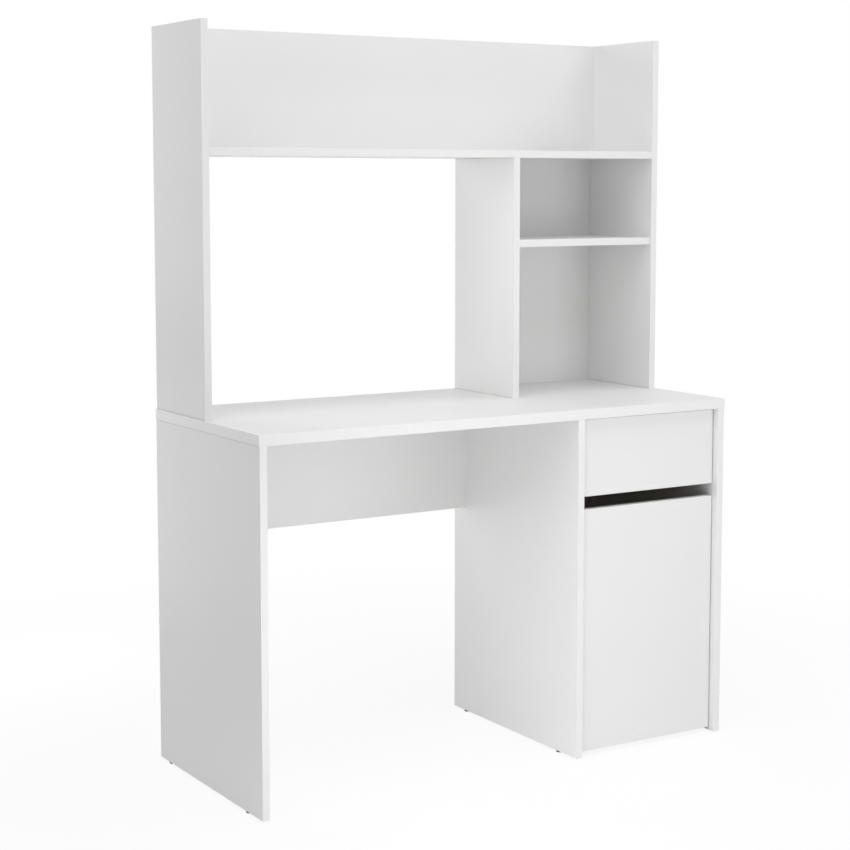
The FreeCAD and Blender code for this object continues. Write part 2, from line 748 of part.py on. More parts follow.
def cabinet_runner(name, wall, panel, inward):
    # steel channel on the panel, open towards the drawer

    def strip(x0, x1, z0, z1):
        low = (wall + inward * x0, runner_front, runner_z + z0)
        high = (wall + inward * x1, runner_end, runner_z + z1)
        return box_between(low, high)

    web = strip(0, runner_sheet, 0, runner_height)
    lower = strip(0, cabinet_flange, 0, runner_sheet)
    lip = strip(0, cabinet_lip, runner_height - runner_sheet, runner_height)
    node = "cabinet_runner_" + name
    stop = travel_stop(wall, inward)
    bends = [(wall, runner_z), (wall, runner_z + runner_height)]
    channel = bent(web.fuse([lower, lip]).removeSplitter(), bends)
    places = along_runner(runner_front, runner_end)
    middle_z = runner_z + runner_height / 2
    put(node, slotted(channel.fuse(stop).removeSplitter(), wall, middle_z, places))
    axis = right * inward
    for y in places:
        seat = vec(wall + inward * runner_sheet, y, middle_z)
        sunk_screw("cabinet_screws", seat, axis * -1, fitting_screw_radius, fitting_screw_head,
                   fitting_screw_length, [node, panel])
    pin_foot = vec(wall, front_roller_y, front_roller_z)
    boss_foot = vec(wall + inward * runner_sheet, front_roller_y, front_roller_z)
    boss_length = roller_start - roller_side_gap - runner_sheet
    roller_pin("front_roller_pins", node, pin_foot, boss_foot, axis, boss_length)
    roller("front_roller_" + name, wall, inward, front_roller_y, front_roller_z)


def travel_stop(wall, inward):
    # tab bent up from the lower flange, which the rear roller meets when the drawer is fully out
    reach = math.sqrt(roller_radius ** 2 - (roller_radius - stop_height) ** 2)
    end = rear_roller_y - drawer_travel - reach - stop_gap
    low = (wall + inward * roller_start, end - runner_sheet, runner_z)
    high = (wall + inward * cabinet_flange, end, runner_z + runner_sheet + stop_height)
    return box_between(low, high)


def roller_pin(pin_node, runner_node, pin_foot, boss_foot, axis, boss_length):
    # rivet: a boss that keeps the roller off the sheet, the shaft, and a flat head
    boss = rod(boss_foot, axis, roller_boss_radius, boss_length)
    shaft_length = runner_sheet + boss_length + roller_width + 2 * roller_side_gap
    shaft = rod(pin_foot, axis, roller_pin_radius, shaft_length)
    head = rod(pin_foot + axis * shaft_length, axis, roller_pin_head, roller_pin_head_length)
    put(pin_node, boss.fuse([shaft, head]).removeSplitter())
    drill([runner_node], rod(pin_foot, axis, roller_pin_radius + press_gap, runner_sheet))


def roller(node, wall, inward, y, z):
    start = vec(wall + inward * roller_start, y, z)
    axis = right * inward
    wheel = rod(start, axis, roller_radius, roller_width)
    wheel = wheel.makeChamfer(roller_bevel, ring_edges(wheel))
    put(node, wheel.cut(rod(start, axis, roller_pin_radius + roller_pin_gap, roller_width)))


def drawer_runner(name, wall, side_node, inward):
    # steel angle below and beside the drawer side, with a rim that runs on the front roller
    start = fronts_back + runner_sheet
    outer = drawer_gap - runner_sheet
    lowest = drawer_side_bottom - runner_sheet

    def strip(x0, x1, z0, z1):
        low = (wall + inward * x0, start, z0)
        high = (wall + inward * x1, drawer_side_rear, z1)
        return box_between(low, high)

    web = strip(outer, drawer_gap, lowest, rim_z + runner_sheet)
    under = strip(outer, drawer_gap + drawer_under_flange, lowest, drawer_side_bottom)
    rim = strip(drawer_flange_start, drawer_gap, rim_z, rim_z + runner_sheet)
    node = "drawer_runner_" + name
    web_x = wall + inward * outer
    side_x = wall + inward * drawer_gap
    bends = [(web_x, lowest), (side_x, rim_z + runner_sheet)]
    angle = bent(web.fuse([under, rim]).removeSplitter(), bends)
    places = along_runner(start, drawer_side_rear)
    put(node, slotted(angle, side_x, (drawer_side_bottom + rim_z) / 2, places))
    middle = wall + inward * (drawer_gap + drawer_board / 2)
    for y in places:
        seat = vec(middle, y, lowest)
        length = runner_sheet + drawer_bottom_rise - under_screw_tip_gap
        sunk_screw("drawer_screws", seat, up, fitting_screw_radius, fitting_screw_head,
                   length, [node, side_node])
    axis = right * -inward
    pin_foot = vec(wall + inward * drawer_gap, rear_roller_y, rear_roller_z)
    boss_foot = vec(wall + inward * outer, rear_roller_y, rear_roller_z)
    boss_length = outer - roller_end - roller_side_gap
    roller_pin("rear_roller_pins", node, pin_foot, boss_foot, axis, boss_length)
    roller("rear_roller_" + name, wall, inward, rear_roller_y, rear_roller_z)


def runners():
    sides = (("left", pedestal_left, "middle_panel", "drawer_left_side", 1),
             ("right", right_panel_x, "right_side_panel", "drawer_right_side", -1))
    for name, wall, panel, drawer_side, inward in sides:
        cabinet_runner(name, wall, panel, inward)
        drawer_runner(name, wall, drawer_side, inward)


def door_parts():
    low = (door_left, fronts_y, door_bottom)
    high = (door_right, fronts_back, door_top)
    banded_board("door_panel", "door_edging", low, high, ("top", "bottom", "left", "right"))
    for z in row_places(door_bottom, door_top, hinge_end_set, hinge_end_set):
        hinge_cup(z)
        hinge_arm(z)
        mounting_plate(z)


def hinge_cup(z):
    # steel cup let into the door, with a flange that is screwed on
    mouth = vec(cup_x, fronts_back, z)
    flange_middle = mouth + rear * (cup_flange_thickness / 2)
    shell = rod(mouth, rear * -1, cup_radius, cup_depth)
    rim = rod(mouth, rear, cup_flange_radius, cup_flange_thickness)
    ears = slab(flange_middle, right, cup_flange_half_width, rear, cup_flange_thickness / 2,
                up, cup_flange_half_length)
    ears = ears.makeFillet(cup_flange_corner, edges_along(ears, rear))
    hollow_start = mouth + rear * cup_flange_thickness
    hollow_depth = cup_flange_thickness + cup_depth - cup_wall
    hollow = rod(hollow_start, rear * -1, cup_radius - cup_wall, hollow_depth)
    cup = shell.fuse([rim, ears]).removeSplitter().cut(hollow)
    put("hinge_cups", cup)
    drill(["door_panel"], rod(mouth, rear * -1, cup_radius + press_gap, cup_depth + press_gap))
    for side in (-1, 1):
        seat = hollow_start + up * (side * cup_screw_set)
        sunk_screw("door_screws", seat, rear * -1, fitting_screw_radius, fitting_screw_head,
                   fitting_screw_length, ["hinge_cups", "door_panel"])
    offset = abs(hinge_pin_x - cup_x) + hinge_pin_radius
    half = math.sqrt((cup_radius - cup_wall / 2) ** 2 - offset ** 2)
    foot = vec(hinge_pin_x, hinge_pin_y, z - half)
    put("hinge_pins", rod(foot, up, hinge_pin_radius, 2 * half))
    drill(["hinge_cups"], rod(foot, up, hinge_pin_radius + press_gap, 2 * half))


def thick_path(points, thickness, z_low, z_high):
    # flat bar on edge that follows a path, with rounded corners
    solids = []
    half = thickness / 2
    for a, b in zip(points[:-1], points[1:]):
        run = b - a
        angle = math.degrees(math.atan2(run.y, run.x))
        bar = Part.makeBox(run.Length, thickness, z_high - z_low, vec(0, -half, 0))
        bar.rotate(vec(0, 0, 0), up, angle)
        bar.translate(vec(a.x, a.y, z_low))
        solids.append(bar)
    for point in points[1:-1]:
        solids.append(rod(vec(point.x, point.y, z_low), up, half, z_high - z_low))
    return solids[0].fuse(solids[1:]).removeSplitter()


def arm_bend_y():
    return hinge_pin_y + hinge_swing + arm_clearance


def hinge_arm(z):
    # bent arm that reaches round the door's hinge edge into the cup
    pin = vec(hinge_pin_x, hinge_pin_y, 0)
    back = arm_bend_y()
    flat_x = right_panel_x - mount_plate_thickness - arm_thickness / 2
    path = [pin,
            pin + vec(-arm_corner, arm_corner, 0),
            vec(hinge_pin_x - arm_corner, back, 0),
            vec(flat_x, back, 0),
            vec(flat_x, back + arm_length, 0)]
    z_low = z - arm_half_width
    z_high = z + arm_half_width
    bar = thick_path(path, arm_thickness, z_low, z_high)
    eye = rod(vec(pin.x, pin.y, z_low), up, hinge_eye_radius, z_high - z_low)
    bore = rod(vec(pin.x, pin.y, z_low), up, hinge_pin_radius + hinge_pin_gap, z_high - z_low)
    put("hinge_arms", bar.fuse(eye).removeSplitter().cut(bore))


def mounting_plate(z):
    # plate on the right panel: two screwed wings and a rail that the arm lies on
    back = arm_bend_y()
    wall = right_panel_x
    inner = wall - mount_plate_thickness
    rail = box_between((inner, back, z - mount_rail_half), (wall, back + arm_length, z + mount_rail_half))
    wing_end = back + mount_wing_length
    wings = box_between((inner, back, z - mount_wing_half), (wall, wing_end, z + mount_wing_half))
    put("hinge_plates", rail.fuse(wings).removeSplitter())
    for side in (-1, 1):
        seat = vec(inner, back + mount_wing_length / 2, z + side * mount_screw_set)
        sunk_screw("cabinet_screws", seat, right, fitting_screw_radius, fitting_screw_head,
                   fitting_screw_length, ["hinge_plates", "right_side_panel"])
    seat = vec(inner - arm_thickness, back + arm_screw_set, z)
    sunk_screw("cabinet_screws", seat, right, fitting_screw_radius, fitting_screw_head,
               fitting_screw_length, ["hinge_arms", "hinge_plates", "right_side_panel"])


def catch_parts():
    # magnetic catch on the middle panel and its strike plate on the door
    strike_low = (door_left + front_side_gap, fronts_back, door_top - catch_drop - strike_height)
    strike_high = (strike_low[0] + strike_width, fronts_back + strike_thickness, door_top - catch_drop)
    put("strike_plate", box_between(strike_low, strike_high))
    strike_x = (strike_low[0] + strike_high[0]) / 2
    strike_z = (strike_low[2] + strike_high[2]) / 2
    seat = vec(strike_x, strike_high[1], strike_z)
    sunk_screw("door_screws", seat, rear * -1, fitting_screw_radius, fitting_screw_head,
               fitting_screw_length, ["strike_plate", "door_panel"])
    low = (pedestal_left, strike_high[1] + catch_gap, strike_z - catch_height / 2)
    high = (pedestal_left + catch_width, low[1] + catch_depth, strike_z + catch_height / 2)
    put("magnetic_catch", box_between(low, high))
    for side in (-1, 1):
        seat = vec(high[0], (low[1] + high[1]) / 2, strike_z + side * catch_screw_set)
        sunk_screw("cabinet_screws", seat, right * -1, fitting_screw_radius, fitting_screw_head,
                   catch_screw_length, ["magnetic_catch", "middle_panel"])


def save_pieces():
    # cuts every hole and writes one file for each named group
    os.makedirs("parts", exist_ok=True)
    for node, solids in pieces.items():
        finished = []
        for solid in solids:
            near = [tool for tool in cuts.get(node, []) if tool.BoundBox.intersect(solid.BoundBox)]
            shape = solid.cut(near) if near else solid
            finished.extend(shape.Solids)
        Part.makeCompound(finished).exportStep("parts/" + node + ".step")
        print(node, len(finished))


desktop_parts()
desk_panels()
modesty_parts()
cupboard_bottom_parts()
cupboard_back_parts()
cupboard_shelf_parts()
hutch_sides()
hutch_shelf_parts()
upper_back_parts()
nook_shelf_parts()
nook_back_parts()
joining_plates()
drawer_boards()
runners()
door_parts()
catch_parts()
save_pieces()
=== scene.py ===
import bmesh
import bpy
import json
import math
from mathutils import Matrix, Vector


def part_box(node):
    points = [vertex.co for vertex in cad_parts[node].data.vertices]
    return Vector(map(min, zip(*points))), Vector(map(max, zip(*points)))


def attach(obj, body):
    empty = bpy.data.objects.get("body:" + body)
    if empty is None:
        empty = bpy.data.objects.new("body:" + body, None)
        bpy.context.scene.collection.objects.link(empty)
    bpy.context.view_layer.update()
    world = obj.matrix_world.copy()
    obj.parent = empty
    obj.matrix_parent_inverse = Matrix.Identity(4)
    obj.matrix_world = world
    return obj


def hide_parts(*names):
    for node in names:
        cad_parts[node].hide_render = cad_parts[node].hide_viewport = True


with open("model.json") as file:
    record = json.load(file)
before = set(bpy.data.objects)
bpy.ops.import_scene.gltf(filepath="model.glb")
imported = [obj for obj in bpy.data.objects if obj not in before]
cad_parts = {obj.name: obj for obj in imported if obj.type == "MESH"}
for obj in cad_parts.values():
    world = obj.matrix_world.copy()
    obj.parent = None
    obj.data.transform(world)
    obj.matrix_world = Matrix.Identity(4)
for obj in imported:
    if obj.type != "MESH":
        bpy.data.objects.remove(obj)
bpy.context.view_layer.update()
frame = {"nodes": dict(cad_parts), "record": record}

nodes = frame["nodes"]
slots = {part["node"]: part["material_slot"] for part in frame["record"]["subparts"]}
print("frame loaded:", len(nodes), "nodes")


cameraSetup = {
    "place": (-2.1445, -3.3866, 1.2371),
    "turn": 31.674,          # degrees to the right of straight ahead
    "tilt": 5.78,            # degrees down
    "sensor": 36.0,
    "lens": 78.93,
    "shiftUp": -0.065,
    "nearAndFar": (0.1, 60.0),
}


def makeCamera():
    setup = cameraSetup
    data = bpy.data.cameras.new("deskCamera")
    data.sensor_width = setup["sensor"]
    data.lens = setup["lens"]
    data.shift_y = setup["shiftUp"]
    data.clip_start, data.clip_end = setup["nearAndFar"]
    camera = bpy.data.objects.new("deskCamera", data)
    bpy.context.scene.collection.objects.link(camera)
    camera.location = setup["place"]
    camera.rotation_euler = (math.radians(90 - setup["tilt"]), 0, -math.radians(setup["turn"]))
    bpy.context.scene.camera = camera


def addStep(tree, kind, values, **choices):
    # one node of a tree, where a value is either another node's output or a plain setting
    step = tree.nodes.new(kind)
    for label, choice in choices.items():
        setattr(step, label, choice)
    for label, value in values.items():
        if isinstance(value, bpy.types.NodeSocket):
            tree.links.new(value, step.inputs[label])
        else:
            step.inputs[label].default_value = value
    return step.outputs[0] if step.outputs else None


def calc(tree, operation, first, second=0.0):
    return addStep(tree, "ShaderNodeMath", {0: first, 1: second}, operation=operation)


def addRange(tree, value, low, high, fromLow=0.3, fromHigh=0.7):
    spread = {"Value": value, "From Min": fromLow, "From Max": fromHigh, "To Min": low, "To Max": high}
    return addStep(tree, "ShaderNodeMapRange", spread)


studio = {
    "floorSize": 40.0,
    "floorColor": (0.95, 0.95, 0.95, 1),
    "floorWhite": (0.89, 1.0),    # how much of the floor is seen as white, near the desk and far off
    "floorFade": (0.8, 2.0),      # metres from the desk over which that grows
    "roomColor": (1, 1, 1, 1),
    "worldLight": 0.269,
    "softboxes": {
        # name: place, aimed at, width, height, watts
        "topBox": ((0.0, -0.6, 4.2), (0.0, 0.0, 0.6), 3.0, 3.0, 13.9),
        "topLeftBox": ((-2.4, -1.0, 3.8), (0.0, 0.0, 0.8), 2.0, 2.0, 22.4),
        "topRightBox": ((2.4, -1.0, 3.8), (0.0, 0.0, 0.8), 2.0, 2.0, 29.1),
        "leftBox": ((-4.0, -1.5, 2.0), (0.0, 0.0, 0.8), 2.4, 2.4, 14.8),
        "rightBox": ((3.4, -2.6, 2.4), (0.0, 0.0, 0.8), 2.4, 2.4, 6.8),
        "farRightBox": ((4.0, 0.2, 1.8), (0.0, 0.0, 0.8), 2.4, 2.4, 16.0),
        "backBox": ((-0.8, 1.8, 1.5), (0.2, 0.0, 1.1), 0.8, 1.4, 9.1),
        "lowBackBox": ((-0.7, 1.3, 0.4), (0.3, -0.1, 0.3), 0.6, 0.6, 2.5),
        "kneeBox": ((-0.5, -0.9, 0.35), (0.4, 0.0, 0.4), 0.4, 0.5, 1.9),
        "hutchBox": ((-0.45, -1.0, 1.45), (0.3, 0.0, 1.2), 0.4, 0.5, 1.15),
        "shelfBox": ((-0.1, -1.2, 2.3), (0.45, 0.1, 1.45), 0.6, 0.4, 3.8),
        "doorBox": ((0.9, -1.7, 0.9), (0.4, 0.0, 0.6), 0.8, 0.8, 5.5),
    },
}


def seenByCamera(tree):
    # 1 for rays that the camera, a reflection or clear plastic sees, 0 for rays that carry light
    path = tree.nodes.new("ShaderNodeLightPath").outputs
    seen = calc(tree, "MAXIMUM", path["Is Camera Ray"], path["Is Glossy Ray"])
    return calc(tree, "MAXIMUM", seen, path["Is Transmission Ray"])


def showMixed(tree, share, lit, white, output):
    mix = addStep(tree, "ShaderNodeMixShader", {0: share, 1: lit, 2: white})
    addStep(tree, output, {"Surface": mix})


def makeWorld():
    world = bpy.data.worlds.new("paleRoom")
    bpy.context.scene.world = world
    world.use_nodes = True
    tree = world.node_tree
    tree.nodes.clear()
    room = {"Color": studio["roomColor"]}
    ambient = addStep(tree, "ShaderNodeBackground", dict(room, Strength=studio["worldLight"]))
    white = addStep(tree, "ShaderNodeBackground", dict(room, Strength=1.0))
    showMixed(tree, seenByCamera(tree), ambient, white, "ShaderNodeOutputWorld")


def makeFloor():
    half = studio["floorSize"] / 2
    mesh = bpy.data.meshes.new("studioFloor")
    corners = [(-half, -half, 0), (half, -half, 0), (half, half, 0), (-half, half, 0)]
    mesh.from_pydata(corners, [], [(0, 1, 2, 3)])
    floor = bpy.data.objects.new("studioFloor", mesh)
    bpy.context.scene.collection.objects.link(floor)
    material = bpy.data.materials.new("paleFloor")
    material.use_nodes = True
    tree = material.node_tree
    tree.nodes.clear()
    paint = addStep(tree, "ShaderNodeBsdfDiffuse", {"Color": studio["floorColor"]})
    glow = addStep(tree, "ShaderNodeEmission", {"Strength": 1.0})
    place = tree.nodes.new("ShaderNodeTexCoord").outputs["Object"]
    away = tree.nodes.new("ShaderNodeVectorMath")
    away.operation = "LENGTH"
    tree.links.new(place, away.inputs[0])
    fade = addRange(tree, away.outputs["Value"], *studio["floorWhite"], *studio["floorFade"])
    share = calc(tree, "MULTIPLY", seenByCamera(tree), fade)
    showMixed(tree, share, paint, glow, "ShaderNodeOutputMaterial")
    mesh.materials.append(material)


def makeSoftboxes():
    for name, (place, target, width, height, power) in studio["softboxes"].items():
        data = bpy.data.lights.new(name, "AREA")
        data.shape = "RECTANGLE"
        data.size = width
        data.size_y = height
        data.energy = power
        lamp = bpy.data.objects.new(name, data)
        bpy.context.scene.collection.objects.link(lamp)
        lamp.location = place
        aim = Vector(target) - Vector(place)
        lamp.rotation_euler = aim.to_track_quat("-Z", "Y").to_euler()
        lamp.visible_camera = False


def startFinish(name):
    # a material with a principled shader that reads object coordinates
    material = bpy.data.materials.new(name)
    material.use_nodes = True
    tree = material.node_tree
    shader = tree.nodes["Principled BSDF"]
    coords = tree.nodes.new("ShaderNodeTexCoord")
    return material, tree, shader, coords.outputs["Object"]


def addNoise(tree, vector, scale, detail=2.0, roughness=0.5):
    values = {"Vector": vector, "Scale": scale, "Detail": detail, "Roughness": roughness}
    return addStep(tree, "ShaderNodeTexNoise", values)


def addBump(tree, shader, height, depth, before=None):
    values = {"Height": height, "Distance": depth, "Strength": 1.0}
    if before is not None:
        values["Normal"] = before
    normal = addStep(tree, "ShaderNodeBump", values)
    tree.links.new(normal, shader.inputs["Normal"])
    return normal


def mixed(tree, share, first, second, kind="RGBA"):
    # blends two values, plain colours or outputs of nodes, by a 0 to 1 share
    mix = tree.nodes.new("ShaderNodeMix")
    mix.data_type = kind
    ports = [port for port in mix.inputs if port.enabled and port.name in ("A", "B")]
    for port, value in zip(ports, (first, second)):
        if isinstance(value, bpy.types.NodeSocket):
            tree.links.new(value, port)
        else:
            port.default_value = (*value, 1)
    tree.links.new(share, mix.inputs["Factor"])
    return [port for port in mix.outputs if port.enabled][0]


def cloudColor(tree, noise, light, dark):
    return mixed(tree, addRange(tree, noise, 0.0, 1.0), light, dark)


def coatAndCore(tree, shader, bare, coat, core):
    # colour and roughness of the coat, and those of the core where the bare share is 1
    for kind, socket, first, second in zip(("RGBA", "FLOAT"), ("Base Color", "Roughness"), coat, core):
        tree.links.new(mixed(tree, bare, first, second, kind), shader.inputs[socket])


coatedFrom = 0.9    # how squarely a face has to look along a board's axis to carry its coat


def bareShare(tree, axis, side=0):
    # 1 on faces without a coat, 0 on the two across the axis, or on the one of them at the given side
    facing = tree.nodes.new("ShaderNodeTexCoord").outputs["Normal"]
    split = tree.nodes.new("ShaderNodeSeparateXYZ")
    tree.links.new(facing, split.inputs["Vector"])
    along = split.outputs["XYZ".index(axis)]
    coated = calc(tree, "MULTIPLY", along, side) if side else calc(tree, "ABSOLUTE", along)
    return calc(tree, "LESS_THAN", coated, coatedFrom)


melamine = {
    "light": (0.875, 0.875, 0.872),
    "dark": (0.858, 0.859, 0.857),
    "cloudNoise": (3.0, 3.0),        # scale and detail
    "grainNoise": (1400.0, 1.0),
    "grainRough": (0.42, 0.52),
    "grainDepth": 0.00003,
    "ior": 1.48,
    "chipLight": (0.64, 0.50, 0.33),
    "chipDark": (0.40, 0.28, 0.16),
    "chipScale": 420.0,
    "chipRough": (0.8, 0.95),
    "chipDepth": 0.0004,
}


def melamineBoard(name, thickAxis=None):
    # white foil on both faces, and the chipboard core where no edge tape covers it
    material, tree, shader, place = startFinish(name)
    look = melamine
    cloud = addNoise(tree, place, *look["cloudNoise"])
    grain = addNoise(tree, place, *look["grainNoise"])
    foil = (cloudColor(tree, cloud, look["light"], look["dark"]),
            addRange(tree, grain, *look["grainRough"]))
    shader.inputs["IOR"].default_value = look["ior"]
    if thickAxis is None:
        tree.links.new(foil[0], shader.inputs["Base Color"])
        tree.links.new(foil[1], shader.inputs["Roughness"])
        addBump(tree, shader, grain, look["grainDepth"])
        return material
    chips = tree.nodes.new("ShaderNodeTexVoronoi")
    chips.inputs["Scale"].default_value = look["chipScale"]
    tree.links.new(place, chips.inputs["Vector"])
    grey = addStep(tree, "ShaderNodeRGBToBW", {"Color": chips.outputs["Color"]})
    core = (mixed(tree, grey, look["chipLight"], look["chipDark"]),
            addRange(tree, grey, *look["chipRough"], 0.0, 1.0))
    bare = bareShare(tree, thickAxis)
    coatAndCore(tree, shader, bare, foil, core)
    chipBumps = addBump(tree, shader, calc(tree, "MULTIPLY", grey, bare), look["chipDepth"])
    addBump(tree, shader, grain, look["grainDepth"], chipBumps)
    return material


hardboard = {
    "paintLight": (0.86, 0.86, 0.856),
    "paintDark": (0.84, 0.842, 0.84),
    "paintNoise": (5.0, 4.0),
    "paintRough": (0.5, 0.62),
    "bareLight": (0.52, 0.37, 0.23),
    "bareDark": (0.38, 0.25, 0.14),
    "bareNoise": (60.0, 6.0, 0.75),      # scale, detail and roughness
    "bareRough": (0.7, 0.85),
    "feltNoise": (700.0, 3.0, 0.6),
    "feltDepth": 0.00006,
}
paintedSide = {"cupboard_back": ("Y", -1), "nook_back": ("Y", -1), "drawer_bottom": ("Z", 1)}


def whiteHardboard(name, axis, side):
    # painted on the side that shows, and bare brown board on the other one and at its edges
    material, tree, shader, place = startFinish(name)
    look = hardboard
    cloud = addNoise(tree, place, *look["paintNoise"])
    mottle = addNoise(tree, place, *look["bareNoise"])
    felt = addNoise(tree, place, *look["feltNoise"])
    paint = (cloudColor(tree, cloud, look["paintLight"], look["paintDark"]),
             addRange(tree, felt, *look["paintRough"]))
    brown = (cloudColor(tree, mottle, look["bareLight"], look["bareDark"]),
             addRange(tree, felt, *look["bareRough"]))
    coatAndCore(tree, shader, bareShare(tree, axis, side), paint, brown)
    addBump(tree, shader, felt, look["feltDepth"])
    return material


grainedFinishes = {
    # noise (scale, detail, roughness) blends light with dark and sets the surface's roughness,
    # and bumpNoise makes the bumps where they don't follow it
    "white_edge_band": {
        "name": "whiteEdgeTape", "noise": (260.0, 2.0), "rough": (0.32, 0.42), "bumpDepth": 0.00003,
        "light": (0.885, 0.885, 0.882), "dark": (0.868, 0.869, 0.867),
    },
    "zinc_casting": {
        "name": "zincCasting", "noise": (300.0, 4.0), "rough": (0.42, 0.6), "bumpDepth": 0.00005,
        "light": (0.62, 0.63, 0.65), "dark": (0.48, 0.49, 0.51),
        "bumpNoise": (1800.0, 2.0), "plain": {"Metallic": 1.0},
    },
    "zinc_plated_steel": {
        "name": "zincPlatedSteel", "noise": (180.0, 3.0), "rough": (0.26, 0.4), "bumpDepth": 0.00002,
        "light": (0.70, 0.71, 0.74), "dark": (0.62, 0.62, 0.60),
        "bumpNoise": (2500.0, 1.0), "plain": {"Metallic": 1.0},
    },
    "nickel_plated_steel": {
        "name": "nickelPlatedSteel", "noise": (120.0, 3.0), "rough": (0.16, 0.28), "bumpDepth": 0.00002,
        "light": (0.74, 0.72, 0.68), "dark": (0.68, 0.66, 0.62),
        "bumpNoise": (900.0, 2.0), "plain": {"Metallic": 1.0},
    },
    "beech_dowel": {
        "name": "beechDowel", "noise": (900.0, 4.0, 0.65), "bumpDepth": 0.00012,
        "light": (0.66, 0.46, 0.28), "dark": (0.50, 0.32, 0.18), "plain": {"Roughness": 0.7},
    },
    "black_plastic": {
        "name": "blackGlide", "noise": (1200.0, 2.0), "rough": (0.5, 0.65), "bumpDepth": 0.00006,
        "light": (0.009, 0.009, 0.009), "dark": (0.016, 0.016, 0.016),
    },
    "white_painted_steel": {
        "name": "whitePowderCoat", "noise": (650.0, 2.0), "rough": (0.34, 0.48), "bumpDepth": 0.00008,
        "light": (0.84, 0.84, 0.83), "dark": (0.80, 0.80, 0.79),
    },
    "white_nylon": {
        "name": "whiteNylon", "noise": (220.0, 2.0), "rough": (0.36, 0.5), "bumpDepth": 0.00003,
        "light": (0.82, 0.82, 0.78), "dark": (0.76, 0.76, 0.72), "bumpNoise": (1500.0, 1.0),
        "plain": {"Subsurface Weight": 0.15, "Subsurface Radius": (0.002, 0.002, 0.002)},
    },
    "white_plastic": {
        "name": "whiteMoulding", "noise": (1600.0, 2.0), "rough": (0.4, 0.55), "bumpDepth": 0.00005,
        "light": (0.82, 0.82, 0.81), "dark": (0.78, 0.78, 0.77),
    },
}


def grainedFinish(look):
    material, tree, shader, place = startFinish(look["name"])
    for socket, value in look.get("plain", {}).items():
        shader.inputs[socket].default_value = value
    grain = addNoise(tree, place, *look["noise"])
    tree.links.new(cloudColor(tree, grain, look["light"], look["dark"]), shader.inputs["Base Color"])
    if "rough" in look:
        tree.links.new(addRange(tree, grain, *look["rough"]), shader.inputs["Roughness"])
    relief = addNoise(tree, place, *look["bumpNoise"]) if "bumpNoise" in look else grain
    addBump(tree, shader, relief, look["bumpDepth"])
    return material


foilWrapped = ("drawer_left_side", "drawer_right_side", "drawer_back")   # these have no bare edges


def dressNodes():
    # every carried-over piece gets the finish of its material slot
    finishes = {slot: grainedFinish(look) for slot, look in grainedFinishes.items()}
    boards = {axis: melamineBoard("whiteBoard" + axis, axis) for axis in "XYZ"}
    sides = sorted(set(paintedSide.values()))
    thinBoards = {side: whiteHardboard("whiteHardboard" + side[0], *side) for side in sides}
    finishes["white_board"] = melamineBoard("whiteFoil")
    for name, slot in slots.items():
        if name in paintedSide:
            material = thinBoards[paintedSide[name]]
        elif slot == "white_board" and name not in foilWrapped:
            low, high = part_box(name)
            spans = [high[i] - low[i] for i in range(3)]
            material = boards["XYZ"[spans.index(min(spans))]]
        else:
            material = finishes[slot]
        nodes[name].data.materials.clear()
        nodes[name].data.materials.append(material)
    return finishes


def startTree(name, sizes):
    # a node tree whose inputs are the sizes of a piece and its finish
    tree = bpy.data.node_groups.new(name, "GeometryNodeTree")
    face = tree.interface
    face.new_socket("Geometry", in_out="INPUT", socket_type="NodeSocketGeometry")
    for label in sizes:
        face.new_socket(label, in_out="INPUT", socket_type="NodeSocketFloat")
    face.new_socket("finish", in_out="INPUT", socket_type="NodeSocketMaterial")
    face.new_socket("Geometry", in_out="OUTPUT", socket_type="NodeSocketGeometry")
    return tree, tree.nodes.new("NodeGroupInput").outputs


def upBy(tree, shape, height, turn=(0, 0, 0), scale=(1, 1, 1)):
    # moves a shape along its own axis
    offset = addStep(tree, "ShaderNodeCombineXYZ", {"Z": height})
    values = {"Geometry": shape, "Translation": offset, "Rotation": turn, "Scale": scale}
    return addStep(tree, "GeometryNodeTransform", values)


def closeTree(tree, given, shapes):
    # joins the shapes and sets them on every seed point, along the direction kept there
    join = tree.nodes.new("GeometryNodeJoinGeometry")
    for shape in shapes:
        tree.links.new(shape, join.inputs[0])
    named = {"Name": "heading"}
    heading = addStep(tree, "GeometryNodeInputNamedAttribute", named, data_type="FLOAT_VECTOR")
    turn = addStep(tree, "FunctionNodeAlignRotationToVector", {"Vector": heading}, axis="Z")
    values = {"Points": given["Geometry"], "Instance": join.outputs[0], "Rotation": turn}
    placed = addStep(tree, "GeometryNodeInstanceOnPoints", values)
    solid = addStep(tree, "GeometryNodeRealizeInstances", {"Geometry": placed})
    dressed = addStep(tree, "GeometryNodeSetMaterial", {"Geometry": solid, "Material": given["finish"]})
    tree.links.new(dressed, tree.nodes.new("NodeGroupOutput").inputs[0])


fastenerSizes = ("headRadius", "shankRadius", "length")
crossScrew = {
    "corePart": 0.72,        # core of the thread, as a share of its outer radius
    "recessPart": 0.48,      # half the width of the cross, as a share of the head's radius
    "recessDeep": 0.55,      # depth of the cross, as a share of the head's height
    "recessRim": 1.5,        # the cross is this much wider above its rim, where it cuts into the air
    "recessFoot": 0.9,       # and this much narrower at its foot
    "bladeShare": 0.24,      # thickness of a wing of the cross, as a share of its width
    "ridgePart": 0.7,        # size of the thread's ridge, as a share of its height over the core
    "pitch": 0.0016,
    "tipLength": 0.003,
    "tipRadius": 0.0002,
    "overlap": 0.0001,       # by which the shank reaches into the head and the tip
    "sides": 28,
    "threadSteps": 10,
}
panelPin = {
    "corePart": 0.62,        # thickness of the nail under its head, as a share of its outer radius
    "largestHead": 0.002,    # a fastener with a smaller head radius than this is a nail
    "tipLength": 0.002,
    "tipRadius": 0.0002,
    "overlap": 0.0001,
    "sides": 12,
}


